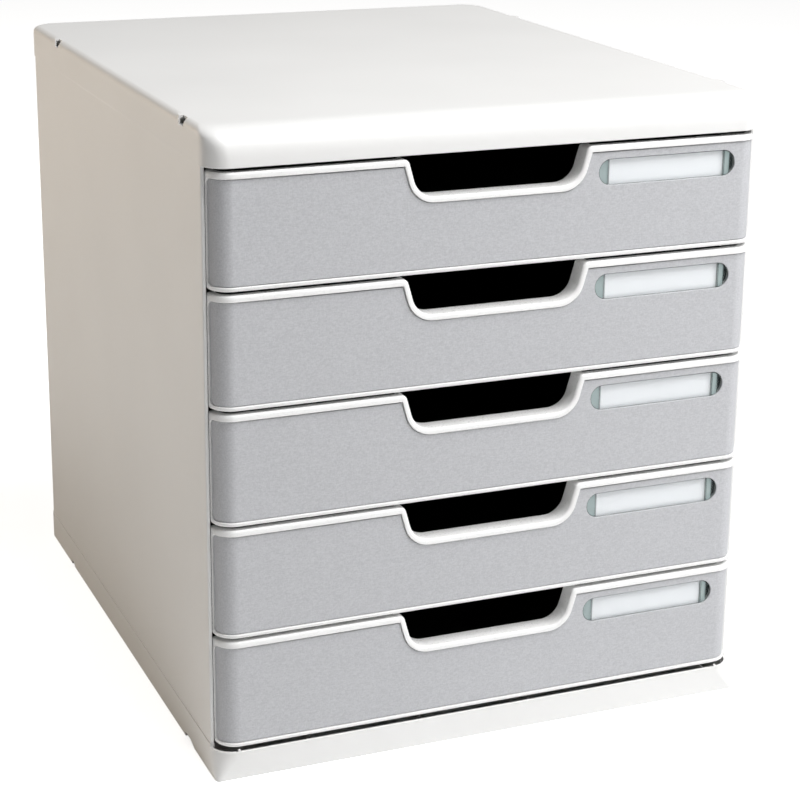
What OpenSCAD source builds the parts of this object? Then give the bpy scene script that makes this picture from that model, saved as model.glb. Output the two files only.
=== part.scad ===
// Desktop file drawer: five closed drawers for office paper in a moulded plastic case.
// Millimetres. X is the width, Y the depth with the fronts at -Y, Z is up from the desk.
// A flat-topped cap and a low base hold two side walls and a back panel. Each drawer is a dark
// tray on channel runners, with a light front frame whose rounded corners wrap to the sides,
// an inset grey panel, a finger cut-out and a clear label window over a paper card.

/* [Case] */
// Width of the case over the cap
case_w = 288; // [270:1:320]
// Depth of the case over the cap
case_d = 350; // [330:1:380]
// Height of the case over the cap
case_h = 320; // [320:1:330]
// Plan radius of the front corners
front_r = 12; // [8:0.5:16]
// Plan radius of the back corners
back_r = 11; // [6:0.5:14]
// Thickness of the side walls
wall_t = 1.8; // [1.6:0.1:2.2]
// How far the walls stand inside the faces of the cap and base
wall_inset = 0.4; // [0.1:0.1:0.5]
// Distance from the front plane to the front edge of the side walls
wall_setback = 10; // [9:0.5:14]
// Half-width of the back panel between the side walls
back_half = 129.8; // [100:0.1:130]

/* [Cap] */
// Height of the cap's lower edge above the desk
cap_bottom = 302.3; // [302:0.1:303]
// Thickness of the cap's skirt
skirt_t = 2.3; // [2:0.1:3]
// Thickness of the cap's top
top_t = 2.6; // [2:0.1:3.5]
// Depth of the curved nose at the front of the cap
nose_depth = 20; // [14:1:28]
// Height of the curved nose
nose_height = 16; // [10:1:17]
// Fullness of the nose curve, where 2 is an ellipse
nose_fullness = 2.8; // [2:0.1:4]
// Radius along the top side edges of the cap
cap_edge_r = 4; // [2:0.5:6]
// Depth of the stiffening ribs under the top
cap_rib_h = 8; // [4:1:8]

/* [Stacking features] */
// Distance of the front stacking slots from the middle of the case
slot_front_y = -137; // [-140:1:-125]
// Distance of the back stacking slots from the middle of the case
slot_back_y = 107; // [90:1:130]
// Length of a stacking slot along the edge
slot_len = 7; // [5:0.5:9]
// How far a stacking slot cuts into the edge from the side
slot_w = 2.4; // [2:0.1:3]
// Length of the collar beside and behind a slot
collar_len = 13; // [11:0.5:16]
// Width of that collar
collar_w = 7.2; // [6.8:0.1:8]
// Height of the notches in the lower edge of the base
notch_h = 2.4; // [1.5:0.1:4]

/* [Base] */
// Top of the deck under the lowest drawer
deck_z = 13.5; // [12:0.5:14]
// Thickness of the deck
deck_t = 2.2; // [1.8:0.1:3]
// Top of the base's skirt in front of the walls
lip_z = 14.3; // [13.5:0.1:15]
// Thickness of the skirt's upper lip in front of the walls
lip_t = 1.2; // [1:0.1:2.3]
// Length of the opening in the deck behind the front skirt
front_gap = 22; // [10:1:22]
// Distance from the middle to the small tabs on the front skirt
tab_x = 132; // [100:1:132]
// Height of the base at the side walls
base_side_z = 16; // [15:0.5:17]
// Plan radius of the front corners where they meet the desk
foot_r = 2.5; // [1:0.5:6]

/* [Drawers] */
// Distance from one drawer to the next
pitch = 57.1; // [56.8:0.1:57.2]
// Height of a drawer front
front_h = 55.3; // [54:0.1:55.5]
// Gap between the cap and the top drawer
top_gap = 1.9; // [1.5:0.1:2.5]
// Width of a drawer front
front_w = 283; // [276:0.5:283]
// Plan radius of the corners of a drawer front
corner_r = 10.5; // [8:0.5:11]
// Depth of the front frame from its face to its back edge
frame_depth = 12; // [11:0.5:14]
// How far a drawer slides out
travel = 270; // [200:5:280]

/* [Front panel] */
// Height of the rim above the grey panel
rim_top = 3.1; // [2:0.1:5]
// Height of the rim below the grey panel
rim_bottom = 2.1; // [2:0.1:4]
// How far the panel's face lies behind the rim
panel_inset = 0.8; // [0.4:0.1:1.2]
// Thickness of the panel
panel_t = 1.2; // [0.8:0.1:1.5]
// Thickness of the frame's web behind the panel
web_t = 2.25; // [1.8:0.05:3]
// Radius of the panel's corners at the side ends
panel_corner_r = 3.5; // [1:0.5:6]
// Distance from the front plane to the panel's side ends
panel_reach = 9.8; // [8:0.1:10.5]

/* [Finger cut-out] */
// Half-width of the cut-out at the top
grip_half = 46.4; // [35:0.1:60]
// Depth of the cut-out below the rim
grip_drop = 18.4; // [14:0.1:24]
// Slant of the cut-out's sides from upright
grip_slant = 16; // [5:1:30]
// Radius of the cut-out's lower corners
grip_r = 11; // [4:0.5:12]
// Radius of the rim where it turns down into the cut-out
grip_lead_r = 3; // [1:0.5:5]
// Width of the raised rim round the cut-out
grip_rim = 2.8; // [2:0.1:4]
// Depth of the wall round the cut-out
grip_depth = 10; // [6:0.5:11]

/* [Label] */
// Middle of the label window across the front
label_x = 90; // [80:0.5:92]
// Middle of the label window below the rim
label_drop = 13.5; // [12:0.5:20]
// Length of the label window
label_len = 75; // [50:1:80]
// Height of the label window
label_h = 13; // [10:0.5:14]
// Width of the opening behind the right end of the window, where the card goes in
label_slot = 2.8; // [1.5:0.1:5]
// Length of the paper card
card_len = 63.4; // [40:0.1:66]
// Thickness of the paper card
card_t = 0.45; // [0.2:0.05:0.5]

/* [Tray] */
// Width of the tray between the runners
tray_w = 272.6; // [260:0.2:273]
// Thickness of the tray's walls
tray_t = 1.9; // [1.6:0.1:2.4]
// Thickness of the tray's floor
floor_t = 2; // [1.6:0.1:2.6]
// Back end of the tray
tray_back = 165.5; // [150:0.5:166]
// Height of the tray's lower face above the front's lower edge
tray_lift = 1.5; // [1:0.1:4]
// Distance from the front's upper edge down to the tray's upper edge
tray_drop = 6.5; // [5:0.5:10]
// Plan radius of the tray's corners
tray_r = 6; // [3:0.5:9]
// Width of the tray's sliding flange
flange_w = 4.6; // [4:0.1:4.8]
// Thickness of the sliding flange
flange_t = 2; // [1.6:0.1:2.5]

/* [Runners] */
// Play between the flange and the ledge that carries it
slide_gap = 0.3; // [0.2:0.05:0.5]
// Thickness of the ledge that carries the flange
ledge_t = 2; // [1.6:0.1:2.5]
// Thickness of the ledge over the flange
keeper_t = 1.6; // [1.2:0.1:2]
// Front end of the runners
runner_front = -150; // [-155:1:-140]
// Height of the stop that ends the travel
stop_h = 4; // [3:0.1:5]
// Length of the stop
stop_len = 6; // [4:0.5:10]

/* [Hidden] */
$fn = 64;

case_colour = [0.93, 0.93, 0.91];
panel_colour = [0.66, 0.67, 0.68];
tray_colour = [0.12, 0.12, 0.13];
clear_colour = [0.75, 0.88, 0.86, 0.5];
paper_colour = [0.97, 0.98, 0.97];

drawer_n = 5;
slack = 0.2;            // clearance between a piece and the pocket it drops into
over = 1;               // how far a cutter runs past the face it cuts

x_out = case_w / 2;
y_front = -case_d / 2;
y_back = case_d / 2;
front_half = front_w / 2;
tray_half = tray_w / 2;
wall_in = wall_inset + wall_t;
wall_inner_x = x_out - wall_in;
wall_front_y = y_front + wall_setback;
wall_h = cap_bottom - base_side_z;

slot_ys = [slot_front_y, slot_back_y];
slot_lip = 1.2;         // thickness of the top left round a slot
slot_deep = 4.2;
collar_deep = 4;
notch_lens = [17, 8];
notch_lag = 6;          // from the middle of a slot back to the front end of its notch
tab_w = 1.2;
tab_h = 1.2;
base_rib_z = 8;         // top of the ribs that cross the front opening
rib_xs = [-90, -30, 30, 90];
rib_ys = [-120, -60, 0, 60, 120];
rib_t = 1.6;

// tongues that locate the walls and the back panel inside the cap and base
tongue_t = 1.5;
tongue_h = 3.7;
tongue_foot = 4;
tongue_len = 300;
back_lap_t = 1.6;
back_lap = 2.7;

// depths behind the front plane of the layers of a drawer front
web_front = panel_inset + panel_t + 0.05;
web_back = web_front + web_t;
window_front = panel_inset + 0.6;
window_back = web_front + 0.55;
window_flange = 1.4;
card_front = window_back + 0.05;
card_back = card_front + card_t;
pocket_back = card_back + 0.05;
card_h = label_h + 0.6;
card_x = label_x - label_len / 2 + 5.6;

// the tray's flange rides on the ledge, measured from the top of the front
flange_z = -tray_drop - flange_t;
ledge_top = flange_z - slide_gap;
ledge_bottom = ledge_top - ledge_t;
keeper_bottom = flange_z + flange_t + slide_gap + 0.1;
ledge_in_x = tray_half + 1.1;
runner_back = 168;
catch_w = 3.3;
catch_gap = 0.4;
catch_y = runner_front + stop_len + travel + slide_gap;
catch_len = 8;

frame_flange_t = 1.9;
grip_wall_t = 2.6;
tray_front = y_front + frame_depth;
clip_x = 112;
clip_zs = [-14, -45];
clip_pad = [12, 6];
clip_peg = [6, 3];
clip_hook = 1;

function drawer_top(n) = cap_bottom - top_gap - (n - 1) * pitch;

// ---------- outlines ----------

// rectangle with exact arcs: radius rf on the corners at low y, rb on those at high y
module corner_rect(x0, x1, y0, y1, rf, rb) {
    polygon([[x0 + rf, y0], [x1 - rf, y0], [x1, y0 + rf], [x1, y1 - rb],
             [x1 - rb, y1], [x0 + rb, y1], [x0, y1 - rb], [x0, y0 + rf]]);
    for (x = [x0 + rf, x1 - rf])
        translate([x, y0 + rf]) circle(rf);
    for (x = [x0 + rb, x1 - rb])
        translate([x, y1 - rb]) circle(rb);
}

// plan of the case, drawn in by d on every side
module case_plan(d) {
    corner_rect(d - x_out, x_out - d, y_front + d, y_back - d, front_r - d, back_r - d);
}

// plan of a drawer front, drawn in by d, running back past the frame's rear edge
module front_plan(d) {
    reach = frame_depth + corner_r;
    corner_rect(d - front_half, front_half - d, y_front + d, y_front + 2 * reach,
        corner_r - d, corner_r - d);
}

// the finger cut-out seen from the front, grown by g, with its top edge at z = 0
module grip_outline(g) {
    t = tan(grip_slant);
    c = cos(grip_slant);
    s = sin(grip_slant);
    r = grip_r + g;
    z_low = -grip_drop - g;
    x_top = grip_half + g / c;
    x_arc = grip_half - grip_drop * t + grip_r * t - grip_r / c;
    z_arc = -grip_drop + grip_r;
    side = [x_arc + r * c, z_arc - r * s];
    x_over = x_top + over * t;
    polygon([[-x_over, over], [-side[0], side[1]], [-x_arc, z_low],
             [x_arc, z_low], [side[0], side[1]], [x_over, over]]);
    for (m = [-1, 1])
        translate([m * x_arc, z_arc]) circle(r);
}

// what the rounding of the rim takes off beside the top of the cut-out; its circle bites a
// little into the opening, so that the two outlines cross
module grip_lead() {
    bite = 0.02;
    t = tan(grip_slant);
    c = cos(grip_slant);
    s = sin(grip_slant);
    r = grip_lead_r;
    x_c = grip_half - r * t + r / c - bite;
    x_in = x_c - 2 * r * c;
    for (m = [0, 1]) mirror([m, 0]) difference() {
        polygon([[x_in, 2 * r * s - r], [x_c, -r], [x_c, over], [x_in, over]]);
        translate([x_c, -r]) circle(r);
    }
}

// stadium of the given length and height
module stadium(l, h) {
    square([l - h, h], center = true);
    for (m = [-1, 1])
        translate([m * (l - h) / 2, 0]) circle(h / 2);
}

// extrudes an outline drawn in X and Z through the depths d0 to d1 behind the front plane
module through_front(d0, d1) {
    translate([0, y_front + d1, 0]) rotate([90, 0, 0]) linear_extrude(d1 - d0) children();
}

// extrudes an outline drawn in Y and Z across the width, from x0 to x1
module across(x0, x1) {
    translate([x0, 0, 0]) rotate([90, 0, 90]) linear_extrude(x1 - x0) children();
}

// ---------- case ----------

// side view of the cap: flat top, full curved nose, small radius at the back; drawn in by d on
// the front and back and by dz on the top
module cap_side(d, dz) {
    a = nose_depth - d;
    b = nose_height - dz;
    y_c = y_front + nose_depth;
    z_c = case_h - nose_height;
    steps = 20;
    r = 3;
    curve = [for (i = [0 : steps]) let (q = 90 * i / steps)
        [y_c - a * pow(cos(q), 2 / nose_fullness), z_c + b * pow(sin(q), 2 / nose_fullness)]];
    polygon(concat([[y_front + d, cap_bottom - over]], curve,
        [[y_back - d - r, case_h - dz], [y_back - d, case_h - dz - r], [y_back - d, cap_bottom - over]]));
    translate([y_back - d - r, case_h - dz - r]) circle(r);
}

// front view of the cap: rounded side edges; drawn in by d on the sides and by dz on the top
module cap_front(d, dz) {
    r = cap_edge_r - dz / 2;
    w = x_out - d;
    polygon([[-w, cap_bottom - over], [w, cap_bottom - over], [w, case_h - dz - r],
             [w - r, case_h - dz], [r - w, case_h - dz], [-w, case_h - dz - r]]);
    for (m = [-1, 1])
        translate([m * (w - r), case_h - dz - r]) circle(r);
}

// solid form of the cap, drawn in by d_side on the skirt and d_top on the top
module cap_form(d_side, d_top) {
    intersection() {
        translate([0, 0, cap_bottom - (d_side > 0 ? over : 0)])
            linear_extrude(case_h) case_plan(d_side);
        across(-x_out, x_out) cap_side(d_side, d_top);
        through_front(0, case_d) cap_front(d_side, d_top);
    }
}

module top_cap() {
    color(case_colour) difference() {
        union() {
            difference() {
                cap_form(0, 0);
                cap_form(skirt_t, top_t);
            }
            // stiffening ribs under the top, clipped to the cap's own form
            intersection() {
                cap_form(0.5, 0.5);
                rib_grid(case_h - top_t - cap_rib_h, case_h - 1, skirt_t);
            }
            // collars that stand up out of the rounded edge behind each stacking slot
            on_slots() translate([0, (collar_len - slot_len) / 2, case_h - collar_deep])
                linear_extrude(collar_deep) rotate(90) stadium(collar_len, collar_w);
        }
        on_slots() {
            // the slot is open to the side, through the rounded edge
            translate([collar_w / 2 - slot_w, -slot_len / 2, case_h - slot_deep])
                cube([slot_w + over, slot_len, slot_deep + over]);
            // under its lip it widens inwards into the hollow of the cap
            translate([-collar_w / 2, -slot_len / 2, case_h - slot_deep])
                cube([collar_w, slot_len, slot_deep - slot_lip]);
        }
    }
}

// repeats its children at the four stacking slots, mirrored so that -X is the inner side
module on_slots() {
    for (m = [0, 1], y = slot_ys) mirror([m, 0, 0])
        translate([x_out - collar_w / 2, y, 0]) children();
}

// crossing ribs between two heights, kept inside the skirt
module rib_grid(z0, z1, d) {
    for (x = rib_xs)
        translate([x - rib_t / 2, y_front + d - 1, z0]) cube([rib_t, case_d - 2 * d + 2, z1 - z0]);
    for (y = rib_ys)
        translate([d - 1 - x_out, y - rib_t / 2, z0]) cube([case_w - 2 * d + 2, rib_t, z1 - z0]);
}

module base() {
    color(case_colour) difference() {
        union() {
            difference() {
                union() {
                    linear_extrude(deck_z) case_plan(0);
                    // front corners: round where they meet the drawer, nearly square on the desk
                    for (m = [0, 1]) mirror([m, 0, 0]) hull() {
                        translate([foot_r - x_out, y_front + foot_r, 0]) cylinder(0.6, r = foot_r);
                        translate([front_r - x_out, y_front + front_r, deck_z - 2]) cylinder(0.5, r = front_r);
                    }
                }
                translate([0, 0, -over]) linear_extrude(deck_z - deck_t + over) case_plan(skirt_t);
            }
            // upper edge of the skirt: low in front, and high where it carries the walls
            base_rim(lip_z, y_front);
            base_rim(base_side_z, wall_front_y);
            rib_grid(notch_h + 2, deck_z - deck_t / 2, skirt_t);
        }
        // the deck is open behind the front skirt, and the ribs that cross there are low
        translate([0, 0, base_rib_z]) linear_extrude(deck_z) intersection() {
            case_plan(skirt_t);
            translate([-x_out, y_front]) square([case_w, skirt_t + front_gap]);
        }
        // in front of the walls the skirt thins to a lip
        translate([0, 0, base_rib_z]) linear_extrude(deck_z) intersection() {
            case_plan(lip_t);
            translate([-x_out, y_front]) square([case_w, wall_setback]);
        }
        // notches that clear the collars of a unit below, sloping out towards the front
        for (i = [0, 1])
            across(-case_w, case_w) base_notch(slot_ys[i] + notch_lag + notch_lens[i] / 2, notch_lens[i]);
    }
    // tabs on the front skirt, under the ends of the lowest drawer front
    color(case_colour) for (m = [-1, 1])
        translate([m * tab_x - tab_w / 2, y_front + 0.1, lip_z - over])
            cube([tab_w, lip_t - 0.2, tab_h + over]);
}

// ring over the skirt up to the height z, from the depth y to the back
module base_rim(z, y) {
    intersection() {
        linear_extrude(z) difference() {
            case_plan(0);
            case_plan(skirt_t);
        }
        translate([-case_w, y, deck_z - deck_t]) cube([2 * case_w, case_d, z]);
    }
}

// notch seen from the side: upright at its back end y, and run out over the length l
module base_notch(y, l) {
    polygon([[y, -over], [y, notch_h], [y - l / 2, notch_h], [y - l, 0], [y - l, -over]]);
}

// the two channel ledges of one runner, with the end wall and the stop under the front
module runner(n) {
    z = drawer_top(n);
    y0 = runner_front;
    l = runner_back - y0;
    w = wall_inner_x + 0.5 - ledge_in_x;
    translate([ledge_in_x, 0, z]) {
        translate([0, y0, ledge_bottom]) cube([w, l, ledge_t]);
        translate([0, y0, keeper_bottom]) cube([w, l, keeper_t]);
        translate([0, runner_back - 2, ledge_bottom]) cube([w, 2, keeper_bottom - ledge_bottom + 1]);
        translate([0, y0, ledge_bottom - stop_h]) cube([w, stop_len, stop_h + 0.5]);
    }
}

// right-hand side wall, which is mirrored for the left
module side_wall() {
    tongue_in = wall_inner_x - 0.2 - tongue_t;
    translate([0, 0, base_side_z]) linear_extrude(wall_h) intersection() {
        difference() {
            case_plan(wall_inset);
            case_plan(wall_in);
        }
        translate([back_half + 0.2, wall_front_y]) square([x_out, case_d]);
    }
    for (n = [1 : drawer_n])
        runner(n);
    // locating tongues into the cap and the base
    for (top = [0, 1]) {
        z_seam = top ? cap_bottom : base_side_z;
        z_foot = top ? z_seam - tongue_foot : z_seam;
        z_tip = top ? z_seam - 0.5 : z_seam - (base_side_z - deck_z) + 0.1;
        h_tip = top ? tongue_h + 0.5 : base_side_z - deck_z;
        translate([tongue_in, -tongue_len / 2, z_foot]) cube([tongue_t + 0.7, tongue_len, tongue_foot]);
        translate([tongue_in, -tongue_len / 2, z_tip]) cube([tongue_t, tongue_len, h_tip]);
    }
}

module right_side_panel() {
    color(case_colour) side_wall();
}

module left_side_panel() {
    color(case_colour) mirror([1, 0, 0]) side_wall();
}

module back_panel() {
    y_lap = y_back - skirt_t - 0.1;
    color(case_colour) {
        translate([-back_half, y_lap, base_side_z])
            cube([2 * back_half, y_back - wall_inset - y_lap, wall_h]);
        translate([-back_half - back_lap, y_lap - back_lap_t, deck_z + 0.1])
            cube([2 * (back_half + back_lap), back_lap_t, cap_bottom + tongue_h - deck_z - 0.1]);
    }
}

// ---------- one drawer, with z = 0 at the top edge of its front ----------

module drawer_frame() {
    panel_low = rim_bottom - front_h;
    difference() {
        union() {
            difference() {
                // outer shell
                translate([0, 0, -front_h]) linear_extrude(front_h) intersection() {
                    front_plan(0);
                    translate([-case_w / 2, y_front]) square([case_w, frame_depth]);
                }
                // hollow back, open at the top, with a flange along the lower edge
                translate([0, 0, frame_flange_t - front_h]) linear_extrude(front_h) front_plan(web_back);
            }
            // wall round the finger cut-out
            intersection() {
                through_front(1, grip_depth) grip_outline(grip_wall_t);
                translate([-case_w / 2, y_front, -front_h]) cube([case_w, frame_depth, front_h]);
            }
            // pads and hooks that hold the tray
            for (m = [-1, 1], z = clip_zs) {
                translate([m * clip_x - clip_pad[0] / 2, y_front + web_back - 0.5, z - clip_pad[1] / 2])
                    cube([clip_pad[0], frame_depth - web_back + 0.5, clip_pad[1]]);
                translate([m * clip_x - clip_peg[0] / 2, tray_front - 1, z - clip_peg[1] / 2])
                    cube([clip_peg[0], tray_t + 2.6, clip_peg[1]]);
                translate([m * clip_x - clip_peg[0] / 2, tray_front + tray_t + 0.1, z - clip_peg[1] / 2 - clip_hook])
                    cube([clip_peg[0], 1.5, clip_hook + 0.5]);
            }
        }
        // recess for the panel, wrapping round both corners
        difference() {
            intersection() {
                translate([0, 0, panel_low]) linear_extrude(front_h - rim_top - rim_bottom) difference() {
                    front_plan(-over);
                    front_plan(web_front);
                }
                panel_ends(0);
            }
            through_front(-2 * over, web_front + over) grip_outline(grip_rim);
        }
        // finger cut-out
        through_front(-over, frame_depth + over) {
            grip_outline(0);
            grip_lead();
        }
        // pocket for the window and its card, open to the back at its right end
        translate([label_x, 0, -label_drop]) {
            through_front(web_front - 0.5, pocket_back) stadium(label_len + 3.2, label_h + 3.2);
            through_front(web_front, web_back + over) intersection() {
                stadium(label_len + 2, label_h + 2);
                translate([label_len / 2 - label_slot, -label_h]) square([2 * label_slot, 2 * label_h]);
            }
        }
    }
}

// bounds of the panel seen from the side, with its rounded ends, drawn in by d
module panel_ends(d) {
    r = panel_corner_r;
    y1 = y_front + panel_reach - d;
    z0 = rim_bottom - front_h + d;
    z1 = -rim_top - d;
    across(-case_w, case_w) {
        polygon([[y_front - 5, z0], [y1 - r, z0], [y1, z0 + r], [y1, z1 - r], [y1 - r, z1], [y_front - 5, z1]]);
        for (z = [z0 + r, z1 - r])
            translate([y1 - r, z]) circle(r);
    }
}

module drawer_face() {
    difference() {
        intersection() {
            translate([0, 0, -front_h]) linear_extrude(front_h) difference() {
                front_plan(panel_inset);
                front_plan(panel_inset + panel_t);
            }
            panel_ends(slack);
        }
        through_front(-over, web_front + over) grip_outline(grip_rim + slack);
        translate([label_x, 0, -label_drop])
            through_front(-over, web_front + over) stadium(label_len, label_h);
    }
}

module label_window() {
    translate([label_x, 0, -label_drop]) {
        through_front(window_front, window_back) stadium(label_len - 0.3, label_h - 0.3);
        through_front(web_front, window_back)
            stadium(label_len + 2 * window_flange, label_h + 2 * window_flange);
    }
}

module label_card() {
    translate([card_x, y_front + card_front, -label_drop - card_h / 2]) cube([card_len, card_t, card_h]);
}

module drawer_tray() {
    y0 = tray_front;
    y1 = tray_back;
    z0 = tray_lift - front_h;
    h = -tray_drop - z0;
    difference() {
        union() {
            translate([0, 0, z0]) linear_extrude(h) corner_rect(-tray_half, tray_half, y0, y1, 1, tray_r);
            // sliding flanges along both upper edges
            for (m = [0, 1]) mirror([m, 0, 0]) {
                translate([tray_half - 0.5, y0 + 4, flange_z]) cube([flange_w + 0.5, y1 - y0 - 4, flange_t]);
                // catch near the back, ramped so that it passes the stop when the drawer goes in
                across(tray_half - 0.5, tray_half + catch_w) polygon([
                    [catch_y, ledge_bottom - catch_gap],
                    [catch_y, ledge_bottom - catch_gap - 3.2],
                    [catch_y + 2, ledge_bottom - catch_gap - 3.2],
                    [catch_y + catch_len, ledge_bottom - catch_gap]]);
            }
        }
        // inside of the tray
        translate([0, 0, z0 + floor_t]) linear_extrude(h)
            corner_rect(tray_t - tray_half, tray_half - tray_t, y0 + tray_t, y1 - tray_t, tray_r - tray_t, tray_r - tray_t);
        // clear of the finger cut-out
        through_front(frame_depth - over, frame_depth + tray_t + over) grip_outline(grip_wall_t);
        // holes for the front frame's hooks
        for (m = [-1, 1], z = clip_zs)
            translate([m * clip_x - clip_peg[0] / 2 - slack, y0 - over, z - clip_peg[1] / 2 - clip_hook - slack])
                cube([clip_peg[0] + 2 * slack, tray_t + 2 * over, clip_peg[1] + clip_hook + 2 * slack]);
    }
}

module at_drawer(n) {
    translate([0, 0, drawer_top(n)]) children();
}

module tray(n) {
    color(tray_colour) at_drawer(n) drawer_tray();
}

module front(n) {
    color(case_colour) at_drawer(n) drawer_frame();
}

module panel(n) {
    color(panel_colour) at_drawer(n) drawer_face();
}

module window(n) {
    color(clear_colour) at_drawer(n) label_window();
}

module label(n) {
    color(paper_colour) at_drawer(n) label_card();
}

top_cap();
base();
left_side_panel();
right_side_panel();
back_panel();
tray(1);  // drawer_1_tray
front(1);  // drawer_1_front
panel(1);  // drawer_1_panel
window(1);  // drawer_1_window
label(1);  // drawer_1_label
tray(2);  // drawer_2_tray
front(2);  // drawer_2_front
panel(2);  // drawer_2_panel
window(2);  // drawer_2_window
label(2);  // drawer_2_label
tray(3);  // drawer_3_tray
front(3);  // drawer_3_front
panel(3);  // drawer_3_panel
window(3);  // drawer_3_window
label(3);  // drawer_3_label
tray(4);  // drawer_4_tray
front(4);  // drawer_4_front
panel(4);  // drawer_4_panel
window(4);  // drawer_4_window
label(4);  // drawer_4_label
tray(5);  // drawer_5_tray
front(5);  // drawer_5_front
panel(5);  // drawer_5_panel
window(5);  // drawer_5_window
label(5);  // drawer_5_label
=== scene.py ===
# %% [markdown]
# # A desktop file drawer
#
# A light plastic case holds five shallow drawers for office paper. The case is a cap, a base,
# two walls and a back. Each drawer is a charcoal tray behind a white front frame, with a grey
# panel let into the frame, a finger cut-out, and a clear window over a paper card.
#
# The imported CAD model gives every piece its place. Here the pieces get rounded edges, crowned
# rims and their finishes, so that light shows the moulding as it does on the real object.

# %% Load the frame
import math

import bmesh
import bpy
from mathutils import Matrix, Vector


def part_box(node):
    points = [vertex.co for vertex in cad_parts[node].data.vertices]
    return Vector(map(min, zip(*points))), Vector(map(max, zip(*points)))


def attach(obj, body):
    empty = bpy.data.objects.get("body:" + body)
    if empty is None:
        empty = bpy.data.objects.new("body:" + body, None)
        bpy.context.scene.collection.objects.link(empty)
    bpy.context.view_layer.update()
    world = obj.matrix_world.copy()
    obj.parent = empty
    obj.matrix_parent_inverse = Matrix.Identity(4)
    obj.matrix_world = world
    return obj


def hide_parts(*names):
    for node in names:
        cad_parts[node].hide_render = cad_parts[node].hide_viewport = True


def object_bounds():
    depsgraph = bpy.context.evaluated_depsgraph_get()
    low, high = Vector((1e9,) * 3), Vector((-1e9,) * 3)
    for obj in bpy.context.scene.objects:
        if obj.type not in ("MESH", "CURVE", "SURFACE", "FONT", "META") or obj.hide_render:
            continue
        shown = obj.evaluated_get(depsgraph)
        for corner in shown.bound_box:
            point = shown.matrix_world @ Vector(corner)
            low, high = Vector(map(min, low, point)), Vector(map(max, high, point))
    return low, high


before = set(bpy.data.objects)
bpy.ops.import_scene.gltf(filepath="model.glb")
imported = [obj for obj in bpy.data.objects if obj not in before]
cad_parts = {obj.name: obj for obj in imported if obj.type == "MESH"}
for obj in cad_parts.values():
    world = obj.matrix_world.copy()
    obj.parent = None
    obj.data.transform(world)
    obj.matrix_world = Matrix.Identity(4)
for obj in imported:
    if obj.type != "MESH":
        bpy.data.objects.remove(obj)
cad_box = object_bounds()
print("CAD box", [round(x, 4) for corner in cad_box for x in corner])

# %% [markdown]
# ## Camera
#
# A camera could be placed by eye, but then nothing else could be checked against the photo.
# This one was fitted to the straight edges of the case. The lens is long, so the verticals
# stay nearly upright, and a small downward shift puts the case in the frame without tilting
# the camera further.

# %% Camera
MM = 0.001
CAMERA_AT = (-0.4096, -1.0496, 0.4983)
CAMERA_AZIMUTH = math.radians(-22.34)
CAMERA_PITCH = math.radians(16.72)
CAMERA_ROLL = math.radians(0.56)
CAMERA_LENS = 94.27
CAMERA_SHIFT_Y = -0.075

camera_data = bpy.data.cameras.new("camera")
camera_data.lens = CAMERA_LENS
camera_data.sensor_width = 36
camera_data.shift_y = CAMERA_SHIFT_Y
camera_data.clip_start = 0.01
camera = bpy.data.objects.new("camera", camera_data)
bpy.context.scene.collection.objects.link(camera)
turn = Matrix.Rotation(CAMERA_AZIMUTH, 4, "Z") @ Matrix.Rotation(math.pi / 2 - CAMERA_PITCH, 4, "X")
camera.matrix_world = Matrix.Translation(CAMERA_AT) @ turn @ Matrix.Rotation(CAMERA_ROLL, 4, "Z")
bpy.context.scene.camera = camera
print("camera", round(Vector(CAMERA_AT).length, 2), "m away, with a lens of", CAMERA_LENS, "mm")

# %% [markdown]
# ## Finishes
#
# A material is a network of nodes. Each starts with one Principled shader, and a node is
# added by its kind with its settings beside it, so that a network reads like a recipe.


# %% Materials and nodes
def new_material(name, colour, roughness, **sockets):
    """A material with one Principled shader; sockets are its other inputs by name."""
    material = bpy.data.materials.new(name)
    material.use_nodes = True
    shader = material.node_tree.nodes["Principled BSDF"]
    shader.inputs["Base Color"].default_value = (*colour, 1)
    shader.inputs["Roughness"].default_value = roughness
    for socket, value in sockets.items():
        shader.inputs[socket.replace("_", " ")].default_value = value
    return material, material.node_tree, shader


def add_node(tree, kind, **settings):
    """A node of that kind, with its properties or its inputs set."""
    node = tree.nodes.new(kind)
    for key, value in settings.items():
        if hasattr(node, key):
            setattr(node, key, value)
        else:
            node.inputs[key.replace("_", " ")].default_value = value
    return node


# %% [markdown]
# Most networks here are alike: a pattern is spread to a range and drives the colour, the
# gloss or the bump. Each helper adds one such step and hands back its result. All the
# patterns read Object coordinates, which are metres in the frame, so their scale is real.


# %% Patterns
def object_coordinates(tree, scale=(1, 1, 1)):
    """Object coordinates in metres, stretched by scale."""
    place = add_node(tree, "ShaderNodeTexCoord")
    mapping = add_node(tree, "ShaderNodeMapping")
    mapping.inputs["Scale"].default_value = scale
    tree.links.new(place.outputs["Object"], mapping.inputs["Vector"])
    return mapping.outputs["Vector"]


def noise(tree, vector, scale, detail, roughness):
    """A noise over the vector, with about that many spots in a metre."""
    spots = add_node(tree, "ShaderNodeTexNoise", Scale=scale, Detail=detail, Roughness=roughness)
    tree.links.new(vector, spots.inputs["Vector"])
    return spots.outputs["Fac"]


def worked_out(tree, operation, first, second=None):
    """The result of a sum, where second is another result or a number."""
    node = add_node(tree, "ShaderNodeMath", operation=operation)
    tree.links.new(first, node.inputs[0])
    if isinstance(second, float):
        node.inputs[1].default_value = second
    elif second is not None:
        tree.links.new(second, node.inputs[1])
    return node.outputs["Value"]


def spread(tree, value, low, high, to_low, to_high):
    """Maps a value from one range to another."""
    node = add_node(tree, "ShaderNodeMapRange")
    tree.links.new(value, node.inputs["Value"])
    for name, number in (("From Min", low), ("From Max", high), ("To Min", to_low), ("To Max", to_high)):
        node.inputs[name].default_value = number
    return node.outputs["Result"]


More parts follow.
